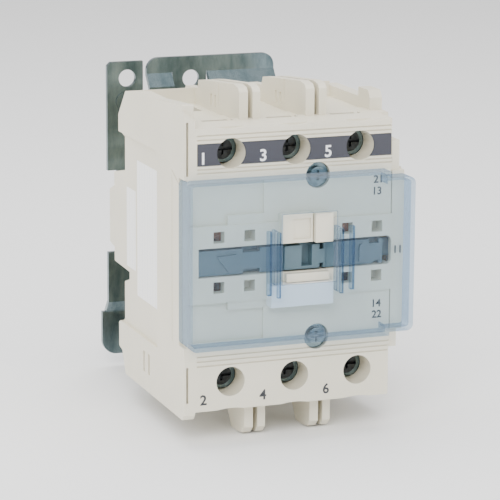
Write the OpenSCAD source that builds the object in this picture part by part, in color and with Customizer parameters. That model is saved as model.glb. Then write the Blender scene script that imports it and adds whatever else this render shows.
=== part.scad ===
// Three-pole DIN rail contactor with built-in auxiliary contacts.
// Frame: front faces -Y, +X is the viewer's right, +Z is up, millimetres.
// Origin: on the panel plane (Y=0), midway between the two fixing holes.

/* [Body] */
// overall width of the mouldings
body_w = 87; // [70:1:110]
// height of the side walls above the rail centre line
wing_top = 59; // [50:0.5:70]
// depth of the side walls below the rail centre line
wing_bottom = 57; // [50:0.5:70]
// distance from the panel to the terminal face
face_depth = 119.5; // [118:0.5:122]
// distance from the panel to the joint between the two mouldings
split_depth = 88; // [86:0.5:90]
// height of the separator fins above the rail centre line
fin_top = 62.6; // [60:0.1:66]
// depth of the separator fins below the rail centre line
fin_bottom = 67.3; // [64:0.1:68]

/* [Poles] */
// distance between neighbouring poles
pole_pitch = 25; // [24.5:0.1:25.5]
// position of the middle pole
pole_x = -0.5; // [-1:0.1:0]
// diameter of the screwdriver holes
driver_hole_d = 11; // [9:0.5:12]
// height of the upper terminal holes
term_top = 41; // [40:0.5:42]
// depth of the lower terminal holes
term_bottom = 43.5; // [42.5:0.5:44.5]
// diameter of the terminal screws
term_screw_d = 7.9; // [6:0.1:8.4]

/* [Drive] */
// travel of the contact carrier
travel = 6; // [4:0.5:6]
// height of the carrier centre line
zc = 1.5; // [1:0.1:2]
// stack thickness of the magnet
stack = 24; // [18:1:25]

/* [Mounting] */
// distance between the two fixing holes
fix_pitch = 100; // [96:1:104]
// diameter of the fixing holes
fix_d = 7; // [5:0.5:8]
// thickness of the mounting plate
plate_t = 2; // [1.5:0.1:2.4]
// height of the rail this part hangs on
rail_h = 35; // [35:0.1:35.4]

/* [Looks] */
// plastic colour of the mouldings
ivory = "#DDDAD0";

/* [Hidden] */
xl = -body_w / 2;
xr = body_w / 2;
yf = -face_depth;
ys = -split_depth;
xt = 37;
px = [pole_x - pole_pitch, pole_x, pole_x + pole_pitch];
mx = [pole_x - pole_pitch / 2, pole_x + pole_pitch / 2];
fx = [-13, 13];
zt = term_top;
zb = -term_bottom;
hs = stack / 2;
cover_t = 32;
cover_b = -29.5;
scr_x = 8;
scr_z = [31, -29.3];
seam_t = 33.2;
seam_b = -33;
$fn = 48;

module box(x0, x1, y0, y1, z0, z1) {
  translate([x0, y0, z0]) cube([x1 - x0, y1 - y0, z1 - z0]);
}

module ycyl(x, z, y0, y1, r) {
  translate([x, y1, z]) rotate([90, 0, 0]) cylinder(r = r, h = y1 - y0);
}

module zcyl(x, y, z0, z1, r) {
  translate([x, y, z0]) cylinder(r = r, h = z1 - z0);
}

module xcyl(y, z, x0, x1, r) {
  translate([x0, y, z]) rotate([0, 90, 0]) cylinder(r = r, h = x1 - x0);
}

// a side outline given as [y, z] points, spread from x0 to x1
module slab(x0, x1, pts) {
  translate([x0, 0, 0]) rotate([90, 0, 90]) linear_extrude(x1 - x0) polygon(pts);
}

// a front outline given as [x, z] points, spread from y0 to y1
module sheet_y(y0, y1, pts) {
  translate([0, y1, 0]) rotate([90, 0, 0]) linear_extrude(y1 - y0) polygon(pts);
}

// helical wire along +Z
function ring(n, r, w, z, a) = [for (i = [0 : n - 1])
  [(r + w * cos(360 * i / n)) * cos(a), (r + w * cos(360 * i / n)) * sin(a), z + w * sin(360 * i / n)]];

module helix(r, w, h, turns, seg = 12, n = 6) {
  total = turns * seg;
  hh = h - 2 * w;
  pts = [for (k = [0 : total]) for (p = ring(n, r, w, w + hh * k / total, 360 * k / seg)) p];
  sides = [for (k = [0 : total - 1]) for (i = [0 : n - 1])
    [k * n + i, (k + 1) * n + i, (k + 1) * n + (i + 1) % n, k * n + (i + 1) % n]];
  cap_a = [[for (i = [0 : n - 1]) i]];
  cap_b = [[for (i = [0 : n - 1]) total * n + n - 1 - i]];
  polyhedron(points = pts, faces = concat(sides, cap_a, cap_b), convexity = 6);
}

module spring_y(x, z, y0, y1, r, w, turns) {
  translate([x, y1, z]) rotate([90, 0, 0]) helix(r, w, y1 - y0, turns);
}

// ---------------------------------------------------------------- plate
module plate_outline() {
  difference() {
    union() {
      box(-36.5, 36, -6, -6 + plate_t, -38.5, 39.5);
      box(-18.7, -8.2, -6, -6 + plate_t, 39, 47.1);
      box(7, 35.7, -6, -6 + plate_t, 39, 47.1);
      box(-36.5, -21.6, -6, -6 + plate_t, 39, 58.6);
    }
    box(-37, -32.5, -7, -3, -18.5, 15);
    translate([-36.5, -5, 58.6]) rotate([0, 45, 0]) cube([2, 5, 2], center = true);
  }
}

module tongue() {
  side = [[-6, 46.5], [-4, 46.5], [-4, 47], [0, 52], [0, 53.2], [-2, 53.2], [-2, 52.7], [-6, 47.7]];
  difference() {
    union() {
      box(-18.7, 35.7, -plate_t, 0, 52.9, 54);
      box(-13.7, 30.7, -plate_t, 0, 52.9, 59);
      ycyl(-13.7, 54, -plate_t, 0, 5);
      ycyl(30.7, 54, -plate_t, 0, 5);
      slab(-18.7, -8.2, side);
      slab(7, 35.7, side);
      // flat strip around the fixing hole, bent lower down behind the body
      box(-7.7, 6.5, -plate_t, 0, 43.8, 53.5);
      slab(-7.7, 6.5, [[-6, 38.5], [-4, 38.5], [-4, 39], [0, 43], [0, 44], [-2, 44], [-2, 43.7], [-6, 39.7]]);
    }
    ycyl(0, fix_pitch / 2, -3, 1, fix_d / 2);
  }
}

module lower_tab() {
  difference() {
    union() {
      box(-38, 36, -plate_t, 0, -56, -44);
      box(-32, 30, -plate_t, 0, -62, -44);
      ycyl(-32, -56, -plate_t, 0, 6);
      ycyl(30, -56, -plate_t, 0, 6);
      slab(-36.5, 36, [[-6, -38], [-4, -38], [-4, -38.5], [0, -43.5], [0, -44.5], [-2, -44.5], [-2, -44.2],
        [-6, -39.2]]);
    }
    ycyl(0, -fix_pitch / 2, -3, 1, fix_d / 2);
  }
}

module rail_hook(x) {
  h = rail_h / 2 + 0.15;
  box(x - 6, x + 6, -4.5, -0.8, h, h + 2);
  box(x - 6, x + 6, -2.7, -0.8, h - 4.5, h + 0.5);
}

module mounting_plate() {
  color("#A9B7BA") union() {
    difference() {
      union() {
        plate_outline();
        tongue();
        lower_tab();
      }
      // earth hole in the ear and the stamped earth sign beside it
      ycyl(-28.2, 51.9, -7, -3, 3.5);
      difference() {
        ycyl(-29.2, 42.7, -6.5, -5.7, 4);
        ycyl(-29.2, 42.7, -6.6, -5.6, 3.6);
      }
      box(-29.4, -29, -6.5, -5.7, 42.5, 45.7);
      box(-31.4, -27, -6.5, -5.7, 42.1, 42.5);
      box(-30.6, -27.8, -6.5, -5.7, 41.1, 41.5);
      box(-29.9, -28.5, -6.5, -5.7, 40.1, 40.5);
      // windows the rail hooks were bent out of
      for (x = [-22, 22]) box(x - 6, x + 6, -7, -3, rail_h / 2 + 2.3, rail_h / 2 + 8);
      // tool window over the latch
      box(-7, 7, -7, -3, -37, -23);
      for (x = [-24, 24]) ycyl(x, zc, -7, -3, 2.05);
    }
    for (x = [-22, 22]) rail_hook(x);
    // guides and spring lug of the latch
    for (s = [-1, 1]) {
      box(min(s * 15.1, s * 17), max(s * 15.1, s * 17), -4.5, -1, -36, -27);
      box(min(s * 13.2, s * 17), max(s * 13.2, s * 17), -2, -1, -36, -27);
    }
    box(-1.6, 1.6, -6, -2.1, -38, -36.8);
  }
}

module plate_screws() {
  color("#B9BDBE") for (x = [-24, 24]) difference() {
    union() {
      ycyl(x, zc, -20, -4, 2);
      ycyl(x, zc, -4, -2.2, 3.8);
    }
    box(x - 3, x + 3, -3.2, -2, zc - 0.5, zc + 0.5);
    box(x - 0.5, x + 0.5, -3.2, -2, zc - 3, zc + 3);
  }
}

// ---------------------------------------------------------------- latch
module din_latch() {
  b = rail_h / 2;
  color("#9BA5A8") difference() {
    union() {
      box(-14.8, 14.8, -3.9, -2.1, -33.3, -b - 0.2);
      box(-13, 13, -3.9, -0.8, -b - 2.2, -b - 0.2);
      box(-13, 13, -2.7, -0.8, -b - 2.2, -b + 4.5);
    }
    box(-2.4, 2.4, -5, 0, -34, -23.5);
    box(4.3, 6.3, -5, 0, -31.3, -25);
    box(-6.3, -4.3, -5, 0, -31.3, -25);
  }
}

module latch_spring() {
  color("#C5C8C8") translate([0, -3.4, -36.8]) helix(1.5, 0.3, 13.3, 8, 12, 5);
}

// ---------------------------------------------------------------- base
module base_outline(top) {
  // rear outline of the base, front closed on the joint plane
  slab(xl, xr, [[ys, -wing_bottom], [-50, -wing_bottom], [-46, -48.5], [-42, -47.5], [-42, -38], [-46, -36],
    [-46, -21], [-52, -19], [-52, -16], [-33, -15.5], [-33, -10], [-27, -9], [-27, 12], [-33, 14.5],
    [-33, 20], [-47, 23], [-47, 36], [-42.5, 37], [-42.5, 44], [-51.5, 54.3], [-70, top], [ys, top]]);
}

module fin_pair_base(x) {
  pts = [[ys, 40], [ys, fin_top - 1.1], [-68, fin_top - 3], [-60.5, fin_top - 4], [-59.5, fin_top - 7.2],
    [-46, fin_top - 8.2], [-44.5, fin_top - 10], [-45, 44], [-50, 40]];
  slab(x - 4.3, x - 0.9, pts);
  slab(x + 0.9, x + 3.9, pts);
}

module base_housing() {
  color(ivory) difference() {
    union() {
      difference() {
        base_outline(56.8);
        // lowered floor between the side walls, top and bottom
        box(xl + 4.3, xr - 5, ys - 1, -56, 49, 70);
        box(xl + 4.3, xr - 5, ys - 1, -56, -70, -53.5);
        // shallow flat on both flanks
        box(xl - 1, xl + 1.2, ys - 1, -20, -37, 37.5);
        box(xr - 1.2, xr + 1, ys - 1, -20, -37, 37.5);
        // the right side wall is lower behind its front post
        box(xr - 5.2, xr + 1, -84, -40, 53.2, 60);
      }
      for (x = fx) fin_pair_base(x);
      box(-30, 30, -28, -6, -8.5, 11.5);
      // towers that hold the terminal cages from behind
      for (x = px) {
        box(x - 6, x + 6, ys - 4.1, ys + 2, zt - 4, zt + 4);
        box(x - 6, x + 6, ys - 4.1, ys + 2, zb - 4, zb + 4);
      }
    }
    // magnet well, back part
    box(-32.6, 32.6, ys - 1, -35, zc - hs - 0.3, zc + hs + 0.3);
    // coil and armature well
    box(-33, 33, ys - 1, -50.2, zc - 27.5, zc + 27.5);
    // hollow shoulders
    for (s = [0, 1]) {
      box(-38, -16, ys - 1, -60, s == 0 ? 33 : -38.3, s == 0 ? 36 : -33);
      box(15, 38, ys - 1, -60, s == 0 ? 33 : -38.3, s == 0 ? 36 : -33);
    }
    // coil terminal pockets with their lead shafts
    for (x = [px[0], px[2]]) {
      box(x - 5, x + 5, -74, -61.4, 43, 51);
      zcyl(x, -68, 34.5, 44, 1.75);
      box(x - 1, x + 1, -62.5, -61, zc + 20, 46);
    }
    // small windows through the outer fins
    for (x = fx) for (y = [-80, -75.5]) box(x - 4.5, x - 3.7, y, y + 1.8, 51, 55.5);
    for (x = fx) box(x - 4.5, x - 4, -83.4, -82.8, 52, 63);
    // screw holes from the front housing and from the plate
    for (z = scr_z) ycyl(scr_x, z, ys - 1, ys + 2, 1.95);
    for (x = [-24, 24]) ycyl(x, zc, -20.2, -5, 2.04);
    // cable-tie style cooling slots on the lower flank
    for (y = [-80, -74]) box(xl - 1, xl + 5, y, y + 2, -50, -42);
  }
}

// ---------------------------------------------------------------- front housing
module fin_pair_front(x) {
  top = [[-105, 45], [-105, fin_top - 2.2], [-103.5, fin_top - 0.6], [-99, fin_top], [ys, fin_top - 1.1],
    [ys, 45]];
  bot = [[-112, -48], [-112, -fin_bottom + 3.3], [-109.5, -fin_bottom + 0.8], [-104, -fin_bottom],
    [-98, -fin_bottom], [-91, -57], [-91, -48]];
  for (p = [top, bot]) {
    slab(x - 4.3, x - 0.9, p);
    slab(x + 0.9, x + 3.9, p);
  }
}

module wings_front() {
  slab(xl, xl + 4.3, [[yf, -55], [yf + 2, -wing_bottom], [ys, -wing_bottom], [ys, 56.8], [yf + 2.5, wing_top],
    [yf + 0.5, wing_top - 1], [yf, wing_top - 2.5]]);
  slab(xr - 5, xr, [[-95, 30], [-95, 54], [-93, 56.8], [ys, 56.8], [ys, 30]]);
  slab(xr - 5, xr, [[-100, -30], [-100, -55], [-98, -wing_bottom], [ys, -wing_bottom], [ys, -30]]);
}

module front_shell() {
  box(xl, xt, yf, ys, -52, 49.5);
  box(xl + 0.5, xt, yf, ys - 14, -54, 50.5);
  box(xt - 1, xr, -101, ys, -52, 49.5);
  wings_front();
  for (x = fx) fin_pair_front(x);
}

module pole_cuts(x) {
  // arc chamber, open to the back
  box(x - 6.2, x + 6.2, yf + 3, ys + 1, zc - 32, zc + 32);
  // cage pockets
  box(x - 8.3, x + 8.3, -109.3, ys + 1, zt - 8, zt + 6);
  box(x - 8.3, x + 8.3, -109.3, ys + 1, zb - 6, zb + 8);
  box(x - 5, x + 5, -97.6, ys + 1, zb + 7, zc - 31);
  // wire entries from above and below
  box(x - 6, x + 6, -105.4, -97.5, zt + 5, 70);
  box(x - 6, x + 6, -105.4, -97.5, -60, zb - 5);
  // open shoulder behind the entry wall
  box(x - 8.2, x + 8.2, -97.6, ys + 1, zt + 5, 48.5);
  // screwdriver holes
  ycyl(x, zt, yf - 1, -109, driver_hole_d / 2);
  ycyl(x, zb, yf - 1, -109, driver_hole_d / 2);
}

module front_body() {
  difference() {
    union() {
      front_shell();
      // raised block above the slot with its socket and rib
      box(-7.4, 4.7, -123.2, yf + 0.5, 7.3, 18);
      box(5.2, 12, -125, yf + 0.5, 7.3, 18);
      box(-5.2, 11.5, -123, yf + 0.5, -7.3, -4.2);
      // raised band with the square sockets, and the small tabs beside it
      box(xl + 2, xr - 2, yf - 1, yf + 0.5, -13.5, 15);
      box(-27, -13, yf - 0.6, yf + 0.8, 15, 18.5);
      box(-27, -13, yf - 0.6, yf + 0.8, -16.5, -13.5);
      box(12.4, 19.5, yf - 0.5, yf + 0.5, -15.6, -13.5);
    }
    for (x = px) pole_cuts(x);
    // scalloped upper front edge
    for (x = px) ycyl(x, 76.5, yf - 1, yf + 2, 26.6);
    for (x = px) ycyl(x, -79.5, yf - 1, yf + 1.5, 26);
    // seats under the clear cover: flanks and the lowered left panel
    box(xl - 1, xl + 1.3, yf - 1, -113.8, cover_b - 0.2, cover_t + 0.2);
    difference() {
      box(xl + 2, -13, yf - 0.9, yf + 0.8, -28, 30.5);
      box(xl + 1, -12, yf - 1.1, yf + 0.9, -13.5, 15);
      box(-27, -13, yf - 1.1, yf + 0.9, -16.5, 18.5);
    }
    // place for the auxiliary moulding
    box(xt + 0.2, xr + 1, yf - 1, -91, -36.5, 42.3);
    // slot for the carrier and passages for its legs
    box(-38.3, xt - 2, yf - 2, -106.8, zc - 5.4, zc + 5.4);
    box(-38.3, xt, yf - 2, -106.8, zc - 3.4, zc + 3.4);
    for (s = [-1, 1]) ycyl(xt - 2, zc + s * 3.4, yf - 2, -106.8, 2);
    box(xt - 1, xt + 5, -118.4, -106.8, zc - 5.4, zc + 5.4);
    for (x = mx) box(x - 2.7, x + 2.7, -107, ys + 1, zc - 4.7, zc + 4.7);
    // square sockets
    for (x = [-30.5, -18.7, 19.4, 31.2]) {
      box(x - 2.1, x + 2.1, yf - 2, yf + 4.5, 8.6, 12.8);
      box(x - 2.1, x + 2.1, yf - 2, yf + 4.5, -9.9, -5.7);
    }
    box(-2.8, 3.9, -125, -122.4, 8.6, 16.2);
    // holes of the housing screws
    for (z = scr_z) {
      ycyl(scr_x, z, yf - 1, ys + 1, 1.95);
      ycyl(scr_x, z, yf - 1, yf + 2.4, 4.8);
    }
    // seat of the numbered strip and the grooves around the terminals
    box(-38.5, xt + 1, yf - 1, yf + 0.5, 36.8, 45);
    for (z = [46, 47.6, 34, 35.4, -33.6, -35.4, -37.2]) box(-38.5, xt + 1, yf - 1, yf + 0.5, z, z + 0.5);
    // slits in the left side wall
    box(xl + 0.9, xl + 1.7, yf - 1, yf + 2.5, 33.5, 53);
    box(xl + 0.9, xl + 1.7, yf - 1, yf + 2.5, -50.5, -37);
    box(xl - 1, xl + 0.6, -106.6, -106, -30, 32);
    slab(xl - 1, xl + 0.6, [[-113.8, 29.5], [-106, 33.6], [-106, 34.2], [-113.8, 30.1]]);
    // shallow flat on the flanks behind the parting line
    box(xl - 1, xl + 1.2, -89, ys + 1, -37, 37.5);
    box(xr - 1.2, xr + 1, -101.5, ys + 1, -37, 37.5);
    // peg holes of the marker tag
    for (x = [-7, 7]) ycyl(x, -14.5, yf - 1, yf + 2.5, 1.2);
  }
}

module front_housing() {
  color(ivory) intersection() {
    front_body();
    box(-60, 60, -130, -80, seam_b, seam_t);
  }
}

module upper_terminal_block() {
  color(ivory) intersection() {
    front_body();
    box(-60, 60, -130, -80, seam_t, 80);
  }
}

module lower_terminal_block() {
  color(ivory) intersection() {
    front_body();
    box(-60, 60, -130, -80, -80, seam_b);
  }
}

module label_strip() {
  color("#6C6D7A") difference() {
    box(-38.3, xt - 0.2, yf - 0.1, yf + 0.5, 37, 44.8);
    for (x = px) ycyl(x, zt, yf - 1, yf + 1, driver_hole_d / 2);
  }
}

module marker_tag() {
  color("#F4F4F1") union() {
    difference() {
      box(-12, 12.2, -125.2, yf, -15.8, -7.6);
      box(-10.8, 11, -123.4, -118, -17, -14.6);
      box(-12.1, 12.3, -120.6, -119.2, -13.6, -7.5);
    }
    for (x = [-7, 7]) ycyl(x, -14.5, -123.4, yf + 2.3, 1.15);
  }
}

module housing_screws() {
  color("#C3C8C9") for (z = scr_z) difference() {
    union() {
      ycyl(scr_x, z, yf + 2.4, ys + 1.8, 1.9);
      ycyl(scr_x, z, yf + 1.6, yf + 2.4, 4.6);
      ycyl(scr_x, z, yf + 0.1, yf + 1.7, 3.1);
    }
    box(scr_x - 2, scr_x + 2, yf - 1, yf + 1.3, z - 0.45, z + 0.45);
    box(scr_x - 0.45, scr_x + 0.45, yf - 1, yf + 1.3, z - 2, z + 2);
  }
}

// ---------------------------------------------------------------- auxiliary moulding
module aux_housing() {
  color(ivory) difference() {
    union() {
      box(xt + 0.4, xr, yf, -91.2, cover_b + 0.5, 31);
      box(xt + 0.4, xr - 3, -118.5, -91.2, -36, 42);
    }
    box(xr - 1.3, xr + 1, yf - 1, -113.8, cover_b, 32);
    // room for the arm and the bridges
    box(xt, xr - 1.6, -117, -93.2, zc - 14, zc + 14);
    box(xt, xr - 3.5, -117, -112, zc - 5.4, zc + 5.4);
    // seats of the contact strips
    for (y = [-94.7, -106.9]) {
      box(xt + 1.4, xr - 1.3, y - 0.6, y + 0.6, zc - 21, zc + 21);
      box(xt + 1.4, xt + 3, y - 3.6, y + 3.6, zc + 19.8, zc + 28);
      box(xt + 1.4, xt + 3, y - 3.6, y + 3.6, zc - 28, zc - 19.8);
      for (z = [zc + 24, zc - 24]) {
        xcyl(y, z, xt + 1, xr + 1, 3.2);
      }
    }
    // wire entries to the auxiliary terminals, up and down
    for (y = [-94.7, -106.9]) {
      box(xt + 1.4, xt + 3, y - 2, y + 2, zc + 27, 43);
      box(xt + 1.4, xt + 3, y - 2, y + 2, -37, zc - 27);
    }
  }
}

module aux_contacts() {
  color("#C9A34E") for (y = [-94.7, -106.9]) for (s = [-1, 1]) difference() {
    union() {
      box(xt + 1.6, xr - 1.8, y - 0.5, y + 0.5, min(zc + s * 8, zc + s * 21), max(zc + s * 8, zc + s * 21));
      box(xt + 1.6, xt + 2.8, y - 3.4, y + 3.4, zc + s * 23.9 - 3.9, zc + s * 23.9 + 3.9);
    }
    xcyl(y, zc + s * 24, xt, xt + 4, 1.55);
  }
}

module aux_screws() {
  color("#C3C8C9") for (y = [-94.7, -106.9]) for (s = [-1, 1]) difference() {
    union() {
      xcyl(y, zc + s * 24, xt + 1.7, xt + 3, 1.5);
      xcyl(y, zc + s * 24, xt + 2.8, xt + 5, 2.8);
    }
    box(xt + 4, xt + 6, y - 2, y + 2, zc + s * 24 - 0.4, zc + s * 24 + 0.4);
    box(xt + 4, xt + 6, y - 0.4, y + 0.4, zc + s * 24 - 2, zc + s * 24 + 2);
  }
}

module aux_bridges() {
  color("#C9A34E") {
    box(xt + 1.9, xr - 2.2, -101.2, -100.2, zc - 13, zc + 13);
    box(xt + 1.9, xr - 2.2, -106.4, -105.4, zc - 13, zc + 13);
    box(xt + 2.4, xr - 2.7, -105.6, -101, zc - 1.2, zc + 1.2);
    ycyl(xt + 2.8, zc, -110.2, -106.3, 0.7);
  }
}

// ---------------------------------------------------------------- main contacts
module bar(x, s) {
  z0 = s > 0 ? zc + 9 : zb - 5.5;
  z1 = s > 0 ? zt + 5.5 : zc - 9;
  box(x - 4.5, x + 4.5, -97, -94.5, z0, z1);
}

module line_contacts() {
  color("#C7804F") for (x = px) bar(x, 1);
}

module load_contacts() {
  color("#C7804F") for (x = px) bar(x, -1);
}

module fixed_tips() {
  color("#D8D8D4") for (x = px) for (s = [-1, 1]) ycyl(x, zc + s * 13.5, -98.2, -97, 3.4);
}

module moving_bridges() {
  color("#C7804F") for (x = px) difference() {
    box(x - 4.4, x + 4.4, -106.2, -104.2, zc - 17.5, zc + 17.5);
    ycyl(x, zc, -106.7, -105.4, 1.2);
  }
}

module moving_tips() {
  color("#D8D8D4") for (x = px) for (s = [-1, 1]) ycyl(x, zc + s * 13.5, -104.2, -103.2, 3.4);
}

module contact_springs() {
  color("#B8BBBC") for (x = px) spring_y(x, zc, -113, -106.2, 3.2, 0.5, 4);
}

module arc_plates() {
  color("#8C9194") for (x = px) for (s = [-1, 1]) for (k = [0 : 3]) {
    z0 = s > 0 ? zc + 19.5 : zc - 31;
    box(x - 6.1, x + 6.1, -113 + k * 3.2, -112.1 + k * 3.2, z0, z0 + 11.5);
  }
}

module cage(x, z) {
  difference() {
    box(x - 8, x + 8, -109, -92.3, z - 5, z + 5);
    box(x - 6.2, x + 6.2, -105.4, -94.5, z - 6, z + 6);
    ycyl(x, z, -110, -105, term_screw_d / 2 + 0.05);
  }
}

module line_cages() {
  color("#B0B6B8") for (x = px) cage(x, zt);
}

module load_cages() {
  color("#B0B6B8") for (x = px) cage(x, zb);
}

module pad(x, z) {
  color("#B0B6B8") difference() {
    box(x - 5.6, x + 5.6, -100, -98.2, z - 4.8, z + 4.8);
    ycyl(x, z, -98.8, -98, 1.5);
  }
}

module pad_1() { pad(px[0], zt); }

module pad_2() { pad(px[1], zt); }

module pad_3() { pad(px[2], zt); }

module pad_4() { pad(px[0], zb); }

module pad_5() { pad(px[1], zb); }

module pad_6() { pad(px[2], zb); }

module term_screw(x, z) {
  color("#9EA3A4") difference() {
    union() {
      ycyl(x, z, -109.1, -101.5, term_screw_d / 2);
      ycyl(x, z, -101.6, -100, term_screw_d / 2 - 1);
      ycyl(x, z, -109.5, -109, term_screw_d / 2 - 0.4);
    }
    box(x - 5, x + 5, -110, -107.8, z - 0.6, z + 0.6);
    box(x - 0.5, x + 0.5, -110, -108.2, z - 2.2, z + 2.2);
  }
}

module terminal_screw_1() { term_screw(px[0], zt); }

module terminal_screw_2() { term_screw(px[1], zt); }

module terminal_screw_3() { term_screw(px[2], zt); }

module terminal_screw_4() { term_screw(px[0], zb); }

module terminal_screw_5() { term_screw(px[1], zb); }

module terminal_screw_6() { term_screw(px[2], zb); }

// ---------------------------------------------------------------- carrier and magnet
module contact_carrier() {
  color("#8299A2") difference() {
    union() {
      box(-38, 34, -119.2, -113, zc - 5, zc + 4.2);
      box(33, xt + 4.4, -115.5, -113.2, zc - 3.2, zc + 3.2);
      box(xt + 1.2, xt + 4.4, -113.5, -107.6, zc - 1.6, zc + 1.6);
      for (x = px) {
        box(x - 5.9, x - 4.6, -113.5, -101.9, zc - 5, zc + 5);
        box(x + 4.6, x + 5.9, -113.5, -101.9, zc - 5, zc + 5);
        box(x - 5.9, x + 5.9, -104.2, -101.9, zc - 3.6, zc + 3.6);
        ycyl(x, zc, -113.5, -111, 2.2);
      }
      for (x = mx) box(x - 2.5, x + 2.5, -113.5, -84.3, zc - 4.5, zc + 4.5);
      box(-32, 32, -87.9, -84.3, zc - 23, zc + 23);
      // lugs for the armature pin
      box(-6, 6, -85, -76.5, zc + hs + 0.3, zc + hs + 4.3);
      box(-6, 6, -85, -76.5, zc - hs - 4.3, zc - hs - 0.3);
      // raised pointers and the centre block on the front
      sheet_y(-120.2, -119, [[-31, zc + 2], [-23.7, zc + 2.4], [-23.7, zc - 4.6], [-26.2, zc - 4.6]]);
      box(24.4, 26.6, -120.4, -119, zc - 3.6, zc + 1.7);
      ycyl(25.5, zc + 1.7, -120.4, -119, 1.1);
      box(-5.2, 10.6, -120.6, -119, zc - 4.6, zc + 4.2);
    }
    // finger notches and the centre recess
    box(-20.9, -14.3, -120, -116.5, zc + 2.8, zc + 6);
    box(-20.9, -14.3, -120, -116.5, zc - 6, zc - 3.4);
    box(28.7, 32.5, -120, -116.5, zc + 2.6, zc + 6);
    box(30.2, 32.5, -120, -117.5, zc - 6, zc - 3.9);
    box(1.4, 5.5, -121, -116.8, zc - 3.6, zc + 5);
    for (z = [zc - 5, zc + 2.2]) box(8.4, 10, -121, -117.5, z, z + 2.1);
    zcyl(0, -80, zc - hs - 5, zc + hs + 5, 2.02);
    ycyl(xt + 2.8, zc, -111.6, -107, 0.75);
    // relief behind the front bar between the legs
    box(-38.5, px[0] - 7, -116, -112, zc - 3.5, zc + 3.5);
  }
}

module armature() {
  color("#7D8285") difference() {
    union() {
      box(-32, 32, -84.2, -74.5, zc - hs, zc + hs);
      box(-9, 9, -75, -60.2 - travel, zc - hs, zc + hs);
      box(-32, -23, -75, -60 - travel, zc - hs, zc + hs);
      box(23, 32, -75, -60 - travel, zc - hs, zc + hs);
    }
    zcyl(0, -80, zc - hs - 1, zc + hs + 1, 2.05);
    for (x = [-27.5, 27.5]) zcyl(x, -79.5, zc - hs - 1, zc + hs + 1, 1.5);
  }
}

module armature_pin() {
  color("#C3C8C9") union() {
    zcyl(0, -80, zc - hs - 4.3, zc + hs + 4.3, 2);
    zcyl(0, -80, zc + hs + 4.3, zc + hs + 5.3, 3.2);
  }
}

module fixed_core() {
  color("#7D8285") difference() {
    union() {
      box(-32, 32, -46, -36, zc - hs, zc + hs);
      box(-9, 9, -60, -45, zc - hs, zc + hs);
      box(-32, -23, -60, -45, zc - hs, zc + hs);
      box(23, 32, -60, -45, zc - hs, zc + hs);
    }
    for (s = [-1, 1]) difference() {
      translate([s * 27.5, 0, 0]) box(-3.6, 3.6, -61, -58.4, zc - 9, zc + 9);
      translate([s * 27.5, 0, 0]) box(-2.4, 2.4, -62, -58, zc - 7.8, zc + 7.8);
    }
    for (x = [-27.5, 27.5]) zcyl(x, -41, zc - hs - 1, zc + hs + 1, 1.5);
  }
}

module shading_rings() {
  color("#C7804F") for (s = [-1, 1]) translate([s * 27.5, 0, 0]) difference() {
    box(-3.6, 3.6, -59.9, -58.4, zc - 9, zc + 9);
    box(-2.4, 2.4, -62, -58, zc - 7.8, zc + 7.8);
  }
}

module core_pad() {
  color("#3B3B3B") box(-30, 30, -36, -35, zc - hs + 1, zc + hs - 1);
}

module rounded_block(w, h, r, y0, y1) {
  box(-w + r, w - r, y0, y1, zc - h, zc + h);
  box(-w, w, y0, y1, zc - h + r, zc + h - r);
  for (i = [-1, 1]) for (j = [-1, 1]) ycyl(i * (w - r), zc + j * (h - r), y0, y1, r);
}

module coil_bobbin() {
  color("#40464A") difference() {
    union() {
      box(-10.6, 10.6, -67.4, -50.4, zc - hs - 1.6, zc + hs + 1.6);
      box(-22.4, 22.4, -52, -50.4, zc - 26.5, zc + 26.5);
      box(-22.4, 22.4, -67.4, -65.8, zc - 26.5, zc + 26.5);
    }
    box(-9.3, 9.3, -70, -48, zc - hs - 0.3, zc + hs + 0.3);
  }
}

module coil_winding() {
  color("#B5652F") difference() {
    rounded_block(21.4, 25.2, 6, -65.8, -52);
    box(-10.6, 10.6, -70, -48, zc - hs - 1.6, zc + hs + 1.6);
  }
}

module coil_terminals() {
  color("#C9A34E") for (x = [px[0], px[2]]) union() {
    difference() {
      box(x - 4.6, x + 4.6, -73.4, -61.6, 43, 44.2);
      zcyl(x, -68, 42, 45, 1.72);
    }
    box(x - 0.8, x + 0.8, -62.4, -61.6, zc + 25.6, 44);
  }
}

module coil_screws() {
  color("#C3C8C9") for (x = [px[0], px[2]]) difference() {
    union() {
      zcyl(x, -68, 35, 44.3, 1.7);
      zcyl(x, -68, 44.2, 45.2, 3.9);
      zcyl(x, -68, 45.2, 47.4, 3.2);
    }
    box(x - 2.4, x + 2.4, -68.4, -67.6, 46.2, 48);
    box(x - 0.4, x + 0.4, -70.4, -65.6, 46.2, 48);
  }
}

module return_springs() {
  color("#B8BBBC") for (x = [-27.5, 27.5]) for (s = [-1, 1]) {
    spring_y(x, zc + s * 18.4, -84.3, -50.2, 3.4, 0.5, 8);
  }
}

// ---------------------------------------------------------------- cover and labels
module cover_shape(g, y0, y1) {
  // front outline of the cover, stepped on the right, with rounded corners, shrunk by g
  x0 = xl + g;
  x1 = xr - g;
  r = 2.4 - g;
  box(x0 + r, 34 - g, y0, y1, cover_b + g, cover_t - g);
  box(x0, x1, y0, y1, cover_b + 1.4 + g + r, cover_t - 2.3 - g - r);
  box(x0, 34 - g, y0, y1, cover_b + g + r, cover_t - g - r);
  box(33, x1 - r, y0, y1, cover_b + 1.4 + g, cover_t - 2.3 - g);
  for (z = [cover_b + g + r, cover_t - g - r]) ycyl(x0 + r, z, y0, y1, r);
  for (z = [cover_b + 1.4 + g + r, cover_t - 2.3 - g - r]) ycyl(x1 - r, z, y0, y1, r);
}

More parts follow.
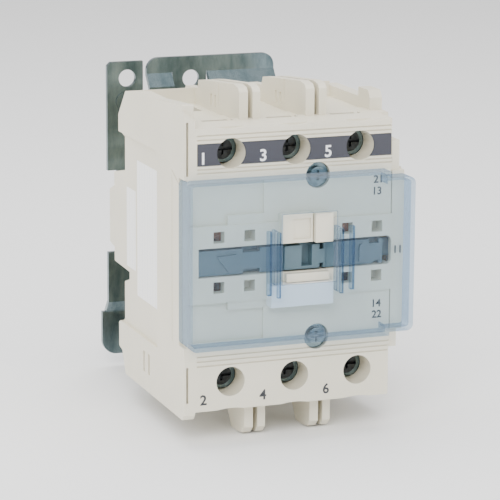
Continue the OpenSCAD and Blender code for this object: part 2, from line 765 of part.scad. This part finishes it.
module grip(x, s) {
  // wall beside the window and the finger flange outside it, s is the way out
  box(min(x, x + s * 1.2), max(x, x + s * 1.2), -128.6, -121.6, -11.5, 12.6);
  box(min(x + s * 3.8, x + s * 5.2), max(x + s * 3.8, x + s * 5.2), -129.2, -125.7, -10.2, 13.4);
  box(min(x, x + s * 5.2), max(x, x + s * 5.2), -127, -125.7, -11.5, 13.4);
}

module front_cover() {
  color("#CFE3EE", 0.45) union() {
    difference() {
      cover_shape(0, -127, -113.8);
      // inside room
      cover_shape(1.2, -125.7, -110);
      // the upper, lower and right skirts stop on the terminal face
      box(xl + 1.2, xr - 1.2, yf - 0.1, -110, cover_b - 1, cover_t + 1);
      // window in front of the carrier and the raised block
      box(-8.4, 13, -128, -125, -7.2, 18.8);
      box(-4.2, 13, -128, -125, -7.4, 12);
      // stiffer edge line
      box(xl + 2.6, xr - 2.6, -125.8, -125.4, cover_b + 3, cover_b + 3.4);
    }
    difference() {
      union() {
        grip(-9.6, -1);
        grip(13.6, 1);
      }
      // room for the marker tag below the band
      box(-12.2, 12.4, -125.65, -119, -19, -7.4);
    }
  }
}

module side_labels() {
  color("#F2F2EE") {
    box(xl + 1.1, xl + 1.2, -86.5, -62, -23, 29.5);
    box(xl + 1.1, xl + 1.2, -60, -49, -14, 17);
  }
}

mounting_plate();
plate_screws();
din_latch();
latch_spring();
base_housing();
front_housing();
upper_terminal_block();
lower_terminal_block();
label_strip();
aux_housing();
housing_screws();
line_contacts();
load_contacts();
fixed_tips();
moving_bridges();
moving_tips();
contact_springs();
arc_plates();
line_cages();
load_cages();
pad_1();
pad_2();
pad_3();
pad_4();
pad_5();
pad_6();
terminal_screw_1();
terminal_screw_2();
terminal_screw_3();
terminal_screw_4();
terminal_screw_5();
terminal_screw_6();
contact_carrier();
armature();
armature_pin();
fixed_core();
shading_rings();
core_pad();
coil_bobbin();
coil_winding();
coil_terminals();
coil_screws();
return_springs();
front_cover();
marker_tag();
side_labels();
aux_contacts();
aux_bridges();
aux_screws();
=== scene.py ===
import math
import bpy
from mathutils import Matrix, Vector


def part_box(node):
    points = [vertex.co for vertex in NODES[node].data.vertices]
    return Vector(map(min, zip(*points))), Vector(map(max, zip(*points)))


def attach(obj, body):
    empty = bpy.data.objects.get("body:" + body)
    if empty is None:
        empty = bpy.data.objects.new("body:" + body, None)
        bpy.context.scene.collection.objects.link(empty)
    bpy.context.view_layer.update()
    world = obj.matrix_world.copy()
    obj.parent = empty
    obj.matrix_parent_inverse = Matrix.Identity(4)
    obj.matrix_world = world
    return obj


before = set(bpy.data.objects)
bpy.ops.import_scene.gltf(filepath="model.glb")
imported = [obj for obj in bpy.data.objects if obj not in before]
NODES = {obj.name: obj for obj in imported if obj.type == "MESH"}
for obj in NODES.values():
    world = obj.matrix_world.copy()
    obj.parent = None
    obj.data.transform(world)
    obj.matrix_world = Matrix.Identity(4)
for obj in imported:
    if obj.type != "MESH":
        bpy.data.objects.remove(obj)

bl_info = {
    "name": "Rail contactor looks",
    "version": (1, 0, 0),
    "blender": (4, 5, 0),
    "location": "View3D > Sidebar > Contactor",
    "description": "Materials, markings and studio stage for a three-pole rail contactor",
    "category": "Object",
}

MM = 0.001

# refraction of moulded polyamide and of clear polycarbonate
PLASTIC_IOR = 1.53
POLYCARBONATE_IOR = 1.58
# size of the slow changes of tone over a moulding, and of the waves in the clear cover, in millimetres
TONE_MM = 28
WAVE_MM = 14
# distance between the ruled lines of a film label, and size of its dull patches, in millimetres
RULING_MM = 3.1
PATCH_MM = 9

# the cover's grips are the only part of it in front of this plane, in millimetres
GRIP_PLANE = -127.1
# faces that carry numerals, in millimetres: the mouldings' front, and the auxiliary moulding's
FRONT_FACE = -119.5
AUX_FACE = -120.5

# numerals as (text, x, z) in millimetres
TOP_NUMERALS = (("1", -36.3, 39.7), ("3", -13.4, 39.7), ("5", 11.8, 39.7))
BOTTOM_NUMERALS = (("2", -36.0, -49.6), ("4", -12.9, -49.6), ("6", 12.1, -49.6))
SMALL_NUMERALS = (("21", 31.6, 28.2), ("13", 31.6, 23.8), ("14", 32.0, -18.6), ("22", 32.0, -22.8))
AUX_NUMERAL = ("11", 39.6, 1.5)
# the bottom numerals are a little lower than the top ones
BOTTOM_SHARE = 0.88
# height of a capital as a share of the font size, added boldness as a share of the height,
# ink thickness, and how far the ink stands in front of its face
CAPITAL_SHARE = 0.7
BOLD_SHARE = 0.03
INK_THICKNESS = 0.06 * MM
INK_LIFT = 0.02 * MM

# stage: half the floor's side, the point that the lamps face, and the lamps
# as (name, place, (width, height), watts), all in metres
FLOOR_HALF = 6.0
LIT_POINT = (0, -0.07, 0)
LAMPS = (
    ("key", (-0.55, -1.0, 0.75), (0.7, 0.6), 15.0),
    ("fill", (0.95, -0.8, 0.25), (0.8, 0.8), 5.0),
    ("top", (0.0, 0.1, 1.1), (1.0, 0.9), 11.0),
    ("left", (-1.1, 0.05, 0.25), (0.6, 0.9), 6.0),
)
# brightness of the sky as (height from straight down to straight up, grey)
SKY_STOPS = ((0.3, 0.3), (0.52, 0.45), (0.62, 0.85), (0.9, 1.0))
SENSOR_MM = 36


# ------------------------------------------------------------------ helpers
def linear(hex_colour):
    """sRGB hex text to a linear RGBA tuple."""
    out = []
    for i in (1, 3, 5):
        c = int(hex_colour[i:i + 2], 16) / 255
        out.append(c / 12.92 if c <= 0.04045 else ((c + 0.055) / 1.055) ** 2.4)
    return (*out, 1.0)


def add(tree, kind, links=None, **values):
    """Adds one shader node; values go to its sockets by name, links join sockets."""
    n = tree.nodes.new(kind)
    for key, value in values.items():
        name = key.replace("_", " ")
        if name in n.inputs:
            n.inputs[name].default_value = value
        else:
            setattr(n, key, value)
    for name, source in (links or {}).items():
        tree.links.new(source, n.inputs[name])
    return n


def ramp(tree, source, stops):
    """Colour ramp from a list of (position, colour)."""
    n = tree.nodes.new("ShaderNodeValToRGB")
    while len(n.color_ramp.elements) < len(stops):
        n.color_ramp.elements.new(0.5)
    for el, (pos, colour) in zip(n.color_ramp.elements, stops):
        el.position = pos
        el.color = colour
    tree.links.new(source, n.inputs["Fac"])
    return n


def grey(v):
    """A linear grey as RGBA."""
    return (v, v, v, 1.0)


def new_material(name):
    """An empty material with one Principled shader; returns material, tree and shader."""
    mat = bpy.data.materials.new(name)
    mat.use_nodes = True
    tree = mat.node_tree
    tree.nodes.clear()
    out = add(tree, "ShaderNodeOutputMaterial")
    bsdf = add(tree, "ShaderNodeBsdfPrincipled")
    tree.links.new(bsdf.outputs["BSDF"], out.inputs["Surface"])
    return mat, tree, bsdf


def coords(tree, scale=(1, 1, 1)):
    """Object coordinates in metres, stretched per axis."""
    tc = add(tree, "ShaderNodeTexCoord")
    mp = add(tree, "ShaderNodeMapping", {"Vector": tc.outputs["Object"]})
    mp.inputs["Scale"].default_value = scale
    return mp.outputs["Vector"]


# ------------------------------------------------------------------ materials
def plastic(name, colour, rough, grain_mm=0.35, bump=0.06, tone=0.025, coat=0.0, sss=0.0):
    """Moulded plastic: fine erosion grain, a slow change of tone, slight sheen changes.

    The real erosion grain is about 0.05 mm; it is drawn at grain_mm, the finest that still shows.
    """
    mat, t, b = new_material(name)
    v = coords(t)
    slow = add(t, "ShaderNodeTexNoise", {"Vector": v}, Scale=1 / (TONE_MM * MM), Detail=3.0, Roughness=0.55)
    c = linear(colour)
    dark = tuple(x * (1 - tone * 2) for x in c[:3]) + (1.0,)
    light = tuple(min(1, x * (1 + tone)) for x in c[:3]) + (1.0,)
    tint = ramp(t, slow.outputs["Fac"], [(0.3, dark), (0.7, light)])
    t.links.new(tint.outputs["Color"], b.inputs["Base Color"])
    fine = add(t, "ShaderNodeTexNoise", {"Vector": v}, Scale=1 / (grain_mm * MM), Detail=2.0, Roughness=0.6)
    sheen = ramp(t, slow.outputs["Fac"], [(0.2, grey(rough - 0.05)), (0.8, grey(rough + 0.06))])
    t.links.new(sheen.outputs["Color"], b.inputs["Roughness"])
    bp = add(t, "ShaderNodeBump", {"Height": fine.outputs["Fac"]}, Strength=bump, Distance=0.02 * MM)
    t.links.new(bp.outputs["Normal"], b.inputs["Normal"])
    b.inputs["IOR"].default_value = PLASTIC_IOR
    b.inputs["Coat Weight"].default_value = coat
    if sss:
        b.inputs["Subsurface Weight"].default_value = sss
        b.inputs["Subsurface Radius"].default_value = (1.2 * MM, 0.9 * MM, 0.6 * MM)
        b.inputs["Subsurface Scale"].default_value = 1.0
    return mat


def metal(name, colour, other, rough, grain_mm=2.0, stretch=(1, 1, 1)):
    """Bare or plated metal: two tones in soft clouds, roughness that follows them."""
    spread = 0.08
    mat, t, b = new_material(name)
    v = coords(t, stretch)
    cloud = add(t, "ShaderNodeTexNoise", {"Vector": v}, Scale=1 / (grain_mm * MM), Detail=5.0, Roughness=0.6)
    tint = ramp(t, cloud.outputs["Fac"], [(0.35, linear(colour)), (0.68, linear(other))])
    t.links.new(tint.outputs["Color"], b.inputs["Base Color"])
    r = ramp(t, cloud.outputs["Fac"], [(0.25, grey(max(0.05, rough - spread))), (0.75, grey(rough + spread))])
    t.links.new(r.outputs["Color"], b.inputs["Roughness"])
    b.inputs["Metallic"].default_value = 1.0
    bp = add(t, "ShaderNodeBump", {"Height": cloud.outputs["Fac"]}, Strength=0.03, Distance=0.05 * MM)
    t.links.new(bp.outputs["Normal"], b.inputs["Normal"])
    return mat


def banded(name, colour, dark, pitch_mm, axis, rough, metallic):
    """Fine parallel bands, for a wound coil or a stack of sheets."""
    mat, t, b = new_material(name)
    v = coords(t)
    w = add(t, "ShaderNodeTexWave", {"Vector": v}, wave_type="BANDS", bands_direction=axis,
            Scale=math.pi / (10 * pitch_mm * MM), Distortion=0.4, Detail=1.0)
    tint = ramp(t, w.outputs["Fac"], [(0.1, linear(dark)), (0.6, linear(colour))])
    t.links.new(tint.outputs["Color"], b.inputs["Base Color"])
    b.inputs["Roughness"].default_value = rough
    b.inputs["Metallic"].default_value = metallic
    bp = add(t, "ShaderNodeBump", {"Height": w.outputs["Fac"]}, Strength=0.35, Distance=pitch_mm * 0.2 * MM)
    t.links.new(bp.outputs["Normal"], b.inputs["Normal"])
    return mat


def clear(name, colour, edge, body):
    """Clear moulded polycarbonate: nearly colourless face on, bluish where it is seen along its walls."""
    mat, t, b = new_material(name)
    v = coords(t)
    wave = add(t, "ShaderNodeTexNoise", {"Vector": v}, Scale=1 / (WAVE_MM * MM), Detail=1.0)
    bp = add(t, "ShaderNodeBump", {"Height": wave.outputs["Fac"]}, Strength=0.05, Distance=0.3 * MM)
    face = add(t, "ShaderNodeLayerWeight", Blend=0.35)
    tint = ramp(t, face.outputs["Facing"], [(0.25, linear(colour)), (0.85, linear(edge))])
    through = add(t, "ShaderNodeBsdfTransparent", {"Color": tint.outputs["Color"]})
    b.inputs["Base Color"].default_value = linear(body)
    b.inputs["Roughness"].default_value = 0.08
    b.inputs["IOR"].default_value = POLYCARBONATE_IOR
    t.links.new(bp.outputs["Normal"], b.inputs["Normal"])
    share = ramp(t, face.outputs["Facing"], [(0.3, grey(0.035)), (0.9, grey(0.36))])
    mix = add(t, "ShaderNodeMixShader", {"Fac": share.outputs["Color"]})
    t.links.new(through.outputs["BSDF"], mix.inputs[1])
    t.links.new(b.outputs["BSDF"], mix.inputs[2])
    out = next(n for n in t.nodes if n.type == "OUTPUT_MATERIAL")
    t.links.new(mix.outputs["Shader"], out.inputs["Surface"])
    return mat


def label(name):
    """Film label: satin white with a few pale ruled lines, no print."""
    mat, t, b = new_material(name)
    v = coords(t)
    sep = add(t, "ShaderNodeSeparateXYZ", {"Vector": v})
    patch = add(t, "ShaderNodeTexNoise", {"Vector": v}, Scale=1 / (PATCH_MM * MM), Detail=2.0)
    step = add(t, "ShaderNodeMath", {0: sep.outputs["Y"]}, operation="MULTIPLY")
    step.inputs[1].default_value = 1 / (RULING_MM * MM)
    frac = add(t, "ShaderNodeMath", {0: step.outputs[0]}, operation="FRACT")
    line = ramp(t, frac.outputs[0], [(0.0, linear("#D5D8DA")), (0.07, linear("#F4F4F2"))])
    line.color_ramp.interpolation = "CONSTANT"
    t.links.new(line.outputs["Color"], b.inputs["Base Color"])
    r = ramp(t, patch.outputs["Fac"], [(0.3, grey(0.3)), (0.7, grey(0.42))])
    t.links.new(r.outputs["Color"], b.inputs["Roughness"])
    return mat


def build_materials(p):
    """One material per record slot."""
    m = {}
    # zinc-plated sheet steel, passivated: slightly green-blue, with long soft spangle along the height
    m["zinc_steel"] = metal("zinc_plated_steel", p.zinc, p.zinc_shade, 0.2, 6.0, (1, 1, 0.35))
    # moulded polyamide: warm ivory, satin, a little light passes into its edges
    m["ivory_plastic"] = plastic("ivory_polyamide", p.ivory, 0.48, sss=0.04)
    # printed polyamide strip: flat dark grey ink, satin
    m["strip_grey"] = plastic("grey_strip_print", p.strip, 0.5, tone=0.02)
    # drawn copper: warm, with a faint cloud of oxide
    m["copper"] = metal("copper", "#B87252", "#C98A66", 0.3)
    # silver alloy contact tips: pale and softly shiny
    m["silver"] = metal("silver_alloy", "#C9C8C2", "#DEDDD8", 0.3)
    # drawn spring wire: cool grey, brighter than the plates
    m["spring_steel"] = metal("spring_wire", "#A9ABAC", "#C6C8C9", 0.25)
    # blued steel sheet: mid grey and rather dull
    m["arc_steel"] = metal("arc_sheet", "#75787A", "#8C9092", 0.42)
    # clamp and screw steel, its grey darkened with painted shade of the deep holes the screws sit in: dark,
    # with a dull gleam on its edges
    m["screw_steel"] = metal("screw_steel", "#333536", "#4A4D4F", 0.45)
    # glass-filled polyamide: blue grey and satin
    m["carrier_plastic"] = plastic("blue_grey_polyamide", p.carrier, 0.46)
    # laminated magnet steel: thin sheets show as fine bands
    m["core_steel"] = banded("magnet_laminations", "#9A9DA0", "#5E6163", 0.5, "Z", 0.36, 1.0)
    # moulded rubber: near black and matt
    m["pad_rubber"] = plastic("soft_rubber", "#2E2E2E", 0.75)
    # glass-filled polyester: dark grey and satin
    m["bobbin_plastic"] = plastic("bobbin_polyester", "#3E4347", 0.5)
    # rolled brass strip: yellow, with slight tarnish
    m["brass"] = metal("brass", "#B8954A", "#CDAE63", 0.3)
    # moulded polycarbonate: almost colourless face on, bluish along its walls
    m["clear_plastic"] = clear("clear_polycarbonate", p.clear, p.clear_edge, "#DCE6EE")
    # the same polycarbonate where two walls stand close together, so its tint is deeper
    m["clear_grips"] = clear("clear_grips", "#BCCEDF", p.clear_edge, "#B4C8DB")
    # moulded ABS: clean white with a gloss
    m["white_plastic"] = plastic("white_abs", "#F3F3F0", 0.3, coat=0.2)
    # coated film label: satin white
    m["label_paper"] = label("film_label")
    # enamelled copper wire: red brown, one band to a turn
    m["winding"] = banded("enamelled_copper", "#A85A34", "#5A2A18", 0.55, "Y", 0.32, 0.8)
    # pad-printed inks: flat, no relief
    m["ink_dark"] = plastic("dark_ink", "#303236", 0.55, bump=0.0)
    m["ink_white"] = plastic("white_ink", "#F1F2F3", 0.5, bump=0.0)
    # matt card: pale floor
    m["floor"] = plastic("floor_card", "#F4F4F4", 0.9, grain_mm=3.0, bump=0.02, tone=0.0)
    return m


# ------------------------------------------------------------------ properties
class CONTACTOR_PG_looks(bpy.types.PropertyGroup):
    ivory: bpy.props.StringProperty(name="Ivory", description="Colour of the mouldings", default="#DDD7C4")
    strip: bpy.props.StringProperty(name="Strip", description="Colour of the numbered strip",
                                    default="#363740")
    carrier: bpy.props.StringProperty(name="Carrier", description="Colour of the contact carrier",
                                      default="#4F6670")
    clear: bpy.props.StringProperty(name="Clear", description="Tint of the clear cover", default="#EDF3F8")
    clear_edge: bpy.props.StringProperty(name="Clear edge", description="Cover seen along its walls",
                                         default="#8FAAC4")
    zinc: bpy.props.StringProperty(name="Zinc", description="Plated steel, light tone", default="#7F8F93")
    zinc_shade: bpy.props.StringProperty(name="Zinc shade", description="Plated steel, dark tone",
                                         default="#55666B")
    bevel: bpy.props.FloatProperty(name="Edge radius", description="Rounding of moulded edges",
                                   default=0.00035, unit="LENGTH", subtype="DISTANCE")
    big_digit: bpy.props.FloatProperty(name="Digit height", description="Height of the terminal digits",
                                       default=0.0042, unit="LENGTH", subtype="DISTANCE")
    small_digit: bpy.props.FloatProperty(name="Small digit height", description="Height of the small digits",
                                         default=0.0028, unit="LENGTH", subtype="DISTANCE")


class CONTACTOR_PG_stage(bpy.types.PropertyGroup):
    azimuth: bpy.props.FloatProperty(name="Azimuth", description="Camera azimuth in degrees", default=-20.606)
    elevation: bpy.props.FloatProperty(name="Elevation", description="Camera elevation in degrees",
                                       default=12.588)
    roll: bpy.props.FloatProperty(name="Roll", description="Camera roll in degrees", default=0.328)
    lens: bpy.props.FloatProperty(name="Lens", description="Focal length in millimetres", default=177.28)
    place: bpy.props.FloatVectorProperty(name="Place", description="Camera place",
                                         default=(-0.32388, -0.93239, 0.19903), unit="LENGTH",
                                         subtype="TRANSLATION")
    sky: bpy.props.FloatProperty(name="Sky", description="Strength of the even light", default=1.15)
    floor_z: bpy.props.FloatProperty(name="Floor height", description="Height of the floor",
                                     default=-0.0675, unit="LENGTH", subtype="DISTANCE")


MATS = {}


def mats():
    if not MATS:
        MATS.update(build_materials(bpy.context.scene.contactor_looks))
    return MATS


def paint(slot_name, *names):
    """Gives CAD nodes their material."""
    for name in names:
        o = NODES[name]
        o.data.materials.clear()
        o.data.materials.append(mats()[slot_name])


def soften(width, *names):
    """Small rounded edges on moulded nodes, as a modifier."""
    for name in names:
        o = NODES[name]
        mod = o.modifiers.new("edge", "BEVEL")
        mod.width = width
        mod.segments = 2
        mod.limit_method = "ANGLE"
        mod.angle_limit = math.radians(50)


def digit(text, x, z, y, height, ink, body):
    """A flat numeral on a face that looks to -Y; y is the face, x and z its centre."""
    curve = bpy.data.curves.new("digit_" + text, "FONT")
    curve.body = text
    curve.size = height / CAPITAL_SHARE
    curve.extrude = INK_THICKNESS
    curve.offset = height * BOLD_SHARE
    curve.resolution_u = 4
    tmp = bpy.data.objects.new("tmp_" + text, curve)
    bpy.context.collection.objects.link(tmp)
    bpy.context.view_layer.update()
    graph = bpy.context.evaluated_depsgraph_get()
    mesh = bpy.data.meshes.new_from_object(tmp.evaluated_get(graph))
    bpy.data.objects.remove(tmp)
    xs = [v.co.x for v in mesh.vertices]
    ys = [v.co.y for v in mesh.vertices]
    mesh.transform(Matrix.Translation((-(min(xs) + max(xs)) / 2, -(min(ys) + max(ys)) / 2, 0)))
    mesh.transform(Matrix.Rotation(math.radians(90), 4, "X"))
    mesh.transform(Matrix.Translation((x, y - INK_LIFT, z)))
    mesh.materials.clear()
    mesh.materials.append(mats()[ink])
    o = bpy.data.objects.new("digit_" + text, mesh)
    bpy.context.collection.objects.link(o)
    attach(o, body)
    return o


# ------------------------------------------------------------------ operators
class Piece(bpy.types.Operator):
    """Base of the operators that dress the pieces"""
    bl_options = {"REGISTER", "UNDO"}

    def execute(self, context):
        self.build(context.scene.contactor_looks)
        return {"FINISHED"}


class CONTACTOR_OT_mouldings(Piece):
    """Ivory mouldings, strip, tag and labels"""
    bl_idname = "contactor.mouldings"
    bl_label = "Mouldings"

    def build(self, p):
        ivory = ("base_housing", "front_housing", "upper_terminal_block", "lower_terminal_block",
                 "aux_housing")
        paint("ivory_plastic", *ivory)
        soften(p.bevel, *ivory)
        paint("strip_grey", "label_strip")
        paint("white_plastic", "marker_tag")
        soften(p.bevel, "marker_tag")
        paint("label_paper", "side_labels")


class CONTACTOR_OT_metalwork(Piece):
    """Plate, latch, screws, clamps, contacts and springs"""
    bl_idname = "contactor.metalwork"
    bl_label = "Metalwork"

    def build(self, p):
        paint("zinc_steel", "mounting_plate", "plate_screws", "din_latch", "housing_screws", "coil_screws",
              "aux_screws", "line_cages", "load_cages", "armature_pin")
        soften(0.0003, "mounting_plate", "din_latch", "housing_screws")
        paint("copper", "line_contacts", "load_contacts", "moving_bridges", "shading_rings")
        paint("silver", "fixed_tips", "moving_tips")
        paint("spring_steel", "latch_spring", "contact_springs", "return_springs")
        paint("arc_steel", "arc_plates")
        paint("brass", "coil_terminals", "aux_contacts", "aux_bridges")
        # the clamp pads and terminal screws get the dark steel whose colour is painted shade of their deep
        # holes
        for i in range(1, 7):
            paint("screw_steel", "pad_%d" % i, "terminal_screw_%d" % i)


class CONTACTOR_OT_drive(Piece):
    """Carrier, magnet and coil"""
    bl_idname = "contactor.drive"
    bl_label = "Drive"

    def build(self, p):
        paint("carrier_plastic", "contact_carrier")
        soften(0.0002, "contact_carrier")
        paint("core_steel", "armature", "fixed_core")
        paint("pad_rubber", "core_pad")
        paint("bobbin_plastic", "coil_bobbin")
        paint("winding", "coil_winding")


class CONTACTOR_OT_cover(Piece):
    """Clear lift-off cover"""
    bl_idname = "contactor.cover"
    bl_label = "Cover"

    def build(self, p):
        paint("clear_plastic", "front_cover")
        o = NODES["front_cover"]
        o.data.materials.append(mats()["clear_grips"])
        for face in o.data.polygons:
            nearest = min((o.matrix_world @ o.data.vertices[i].co).y for i in face.vertices)
            if nearest < GRIP_PLANE * MM:
                face.material_index = 1
        soften(0.00025, "front_cover")


class CONTACTOR_OT_markings(Piece):
    """Plain terminal numbers"""
    bl_idname = "contactor.markings"
    bl_label = "Markings"

    def build(self, p):
        strip_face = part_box("label_strip")[0].y
        front, aux = FRONT_FACE * MM, AUX_FACE * MM
        for numerals, face, height, ink in (
                (TOP_NUMERALS, strip_face, p.big_digit, "ink_white"),
                (BOTTOM_NUMERALS, front, p.big_digit * BOTTOM_SHARE, "ink_dark"),
                (SMALL_NUMERALS, front, p.small_digit, "ink_dark"),
                ((AUX_NUMERAL,), aux, p.small_digit, "ink_dark")):
            for text, x, z in numerals:
                digit(text, x * MM, z * MM, face, height, ink, "housing")


class CONTACTOR_OT_stage(bpy.types.Operator):
    """Floor, soft lights and camera"""
    bl_idname = "contactor.stage"
    bl_label = "Stage"
    bl_options = {"REGISTER", "UNDO"}

    def execute(self, context):
        s = context.scene.contactor_stage
        mesh = bpy.data.meshes.new("floor")
        w = FLOOR_HALF
        z = s.floor_z
        mesh.from_pydata([(-w, -w, z), (w, -w, z), (w, w, z), (-w, w, z)], [], [(0, 1, 2, 3)])
        mesh.materials.append(mats()["floor"])
        floor = bpy.data.objects.new("floor", mesh)
        context.collection.objects.link(floor)

        for name, place, size, power in LAMPS:
            data = bpy.data.lights.new(name, "AREA")
            data.shape = "RECTANGLE"
            data.size, data.size_y = size
            data.energy = power
            o = bpy.data.objects.new(name, data)
            o.location = place
            o.rotation_mode = "QUATERNION"
            o.rotation_quaternion = (Vector(LIT_POINT) - Vector(place)).to_track_quat("-Z", "Y")
            context.collection.objects.link(o)

        world = bpy.data.worlds.new("studio")
        world.use_nodes = True
        sky = world.node_tree
        way = add(sky, "ShaderNodeTexCoord")
        split = add(sky, "ShaderNodeSeparateXYZ", {"Vector": way.outputs["Generated"]})
        height = add(sky, "ShaderNodeMapRange", {"Value": split.outputs["Z"]})
        height.inputs["From Min"].default_value = -1.0
        tone = ramp(sky, height.outputs["Result"], [(at, grey(v)) for at, v in SKY_STOPS])
        back_light = sky.nodes["Background"]
        sky.links.new(tone.outputs["Color"], back_light.inputs["Color"])
        back_light.inputs["Strength"].default_value = s.sky
        context.scene.world = world

        cam_data = bpy.data.cameras.new("camera")
        cam_data.sensor_width = SENSOR_MM
        cam_data.lens = s.lens
        cam_data.clip_start = 0.01
        cam = bpy.data.objects.new("camera", cam_data)
        a, e, r = (math.radians(v) for v in (s.azimuth, s.elevation, s.roll))
        back = Vector((math.sin(a) * math.cos(e), -math.cos(a) * math.cos(e), math.sin(e)))
        right = Vector((math.cos(a), math.sin(a), 0))
        up = back.cross(right)
        right, up = (math.cos(r) * right + math.sin(r) * up, -math.sin(r) * right + math.cos(r) * up)
        m = Matrix((right, up, back)).transposed().to_4x4()
        m.translation = Vector(s.place)
        cam.matrix_world = m
        context.collection.objects.link(cam)
        context.scene.camera = cam
        return {"FINISHED"}


class CONTACTOR_PT_panel(bpy.types.Panel):
    bl_idname = "CONTACTOR_PT_panel"
    bl_label = "Contactor"
    bl_space_type = "VIEW_3D"
    bl_region_type = "UI"
    bl_category = "Contactor"

    def draw(self, context):
        for name in ("mouldings", "metalwork", "drive", "cover", "markings", "stage"):
            self.layout.operator("contactor." + name)
        for group in (context.scene.contactor_looks, context.scene.contactor_stage):
            for prop in group.bl_rna.properties:
                if not prop.is_readonly and prop.identifier != "name":
                    self.layout.prop(group, prop.identifier)


CLASSES = (
    CONTACTOR_PG_looks, CONTACTOR_PG_stage, CONTACTOR_OT_mouldings, CONTACTOR_OT_metalwork,
    CONTACTOR_OT_drive, CONTACTOR_OT_cover, CONTACTOR_OT_markings, CONTACTOR_OT_stage,
    CONTACTOR_PT_panel,
)


def register():
    for c in CLASSES:
        bpy.utils.register_class(c)
    bpy.types.Scene.contactor_looks = bpy.props.PointerProperty(type=CONTACTOR_PG_looks)
    bpy.types.Scene.contactor_stage = bpy.props.PointerProperty(type=CONTACTOR_PG_stage)


def unregister():
    del bpy.types.Scene.contactor_stage
    del bpy.types.Scene.contactor_looks
    for c in reversed(CLASSES):
        bpy.utils.unregister_class(c)


def main():
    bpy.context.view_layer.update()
    register()
    ops = bpy.ops.contactor
    for run in (ops.mouldings, ops.metalwork, ops.drive, ops.cover, ops.markings, ops.stage):
        run()


if __name__ == "__main__":
    main()
